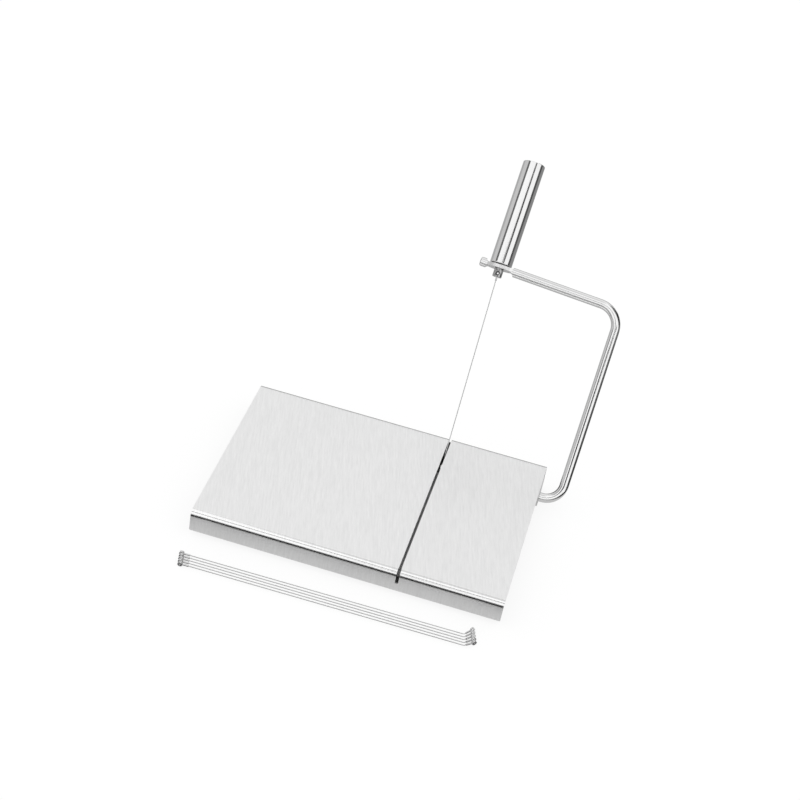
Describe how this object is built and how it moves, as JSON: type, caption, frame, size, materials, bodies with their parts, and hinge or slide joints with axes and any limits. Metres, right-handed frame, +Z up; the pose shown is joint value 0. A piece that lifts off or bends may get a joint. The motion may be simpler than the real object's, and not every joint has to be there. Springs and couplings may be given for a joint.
{
  "type": "wire cheese slicer",
  "caption": "Folded stainless board with a cutting slot and a bent rod arm that swings a taut wire down through it, tightened by a screw-on tube handle.",
  "frame": {"origin": "on the table under the middle of the board, in the plane of the feet's undersides", "axes": "+Z up, +Y from the board's front edge to its back, +X from left to right towards the arm's upright"},
  "size_m": [0.2326, 0.312, 0.18],
  "materials": {
    "board_sheet": "brushed stainless, grain across the board's depth",
    "bracket_steel": "plain rolled stainless",
    "bush_plastic": "moulded nylon",
    "foot_rubber": "moulded rubber",
    "rod_steel": "polished stainless rod",
    "pin_steel": "turned steel",
    "clip_steel": "spring steel",
    "wire_steel": "bright drawn wire",
    "eyelet_steel": "pressed steel",
    "stud_steel": "polished stainless",
    "washer_plastic": "black nylon",
    "handle_steel": "polished stainless tube",
    "nut_brass": "turned brass",
    "cap_steel": "polished stainless"
  },
  "bodies": {
    "board": {"board_sheet": "board_sheet", "outer_bracket": "bracket_steel", "inner_bracket": "bracket_steel", "outer_bush": "bush_plastic", "inner_bush": "bush_plastic", "foot_front_left": "foot_rubber", "foot_front_right": "foot_rubber", "foot_back_left": "foot_rubber", "foot_back_right": "foot_rubber"},
    "arm": {"arm_rod": "rod_steel", "stop_pin": "pin_steel", "anchor_pin": "pin_steel", "inner_clip": "clip_steel", "outer_clip": "clip_steel", "cutting_wire": "wire_steel", "upper_eyelet": "eyelet_steel", "lower_eyelet": "eyelet_steel", "handle_washer": "washer_plastic"},
    "stud": {"tension_stud": "stud_steel"},
    "handle": {"handle_tube": "handle_steel", "handle_nut": "nut_brass", "handle_cap": "cap_steel"},
    "spare_1": {"spare_wire_1": "wire_steel", "spare_eyelets_1": "eyelet_steel"},
    "spare_2": {"spare_wire_2": "wire_steel", "spare_eyelets_2": "eyelet_steel"},
    "spare_3": {"spare_wire_3": "wire_steel", "spare_eyelets_3": "eyelet_steel"},
    "spare_4": {"spare_wire_4": "wire_steel", "spare_eyelets_4": "eyelet_steel"},
    "spare_5": {"spare_wire_5": "wire_steel", "spare_eyelets_5": "eyelet_steel"}
  },
  "joints": [
    {"name": "arm_swing", "type": "hinge", "parent": "board", "child": "arm", "pos_m": [0.035, 0.0491, 0.0101], "axis": [1, 0, 0], "range_deg": [0, 132.8]},
    {"name": "handle_turn", "type": "hinge", "parent": "arm", "child": "handle", "pos_m": [0.03518, 0.14905, 0.11803], "axis": [0.0401, 0.6789, 0.7331], "range_deg": [0, 225]},
    {"name": "stud_slide", "type": "slide", "parent": "arm", "child": "stud", "axis": [0.0401, 0.6789, 0.7331], "range_m": [-0.0005, 0]},
    {"name": "spare_lift_1", "type": "slide", "parent": "board", "child": "spare_1", "axis": [0, 0, 1], "range_m": [0, 0.03]},
    {"name": "spare_lift_2", "type": "slide", "parent": "board", "child": "spare_2", "axis": [0, 0, 1], "range_m": [0, 0.03]},
    {"name": "spare_lift_3", "type": "slide", "parent": "board", "child": "spare_3", "axis": [0, 0, 1], "range_m": [0, 0.03]},
    {"name": "spare_lift_4", "type": "slide", "parent": "board", "child": "spare_4", "axis": [0, 0, 1], "range_m": [0, 0.03]},
    {"name": "spare_lift_5", "type": "slide", "parent": "board", "child": "spare_5", "axis": [0, 0, 1], "range_m": [0, 0.03]}
  ],
  "couplings": [
    {"joint": "stud_slide", "follows": "handle_turn", "m_per_rad": -0.00012732}
  ]
}
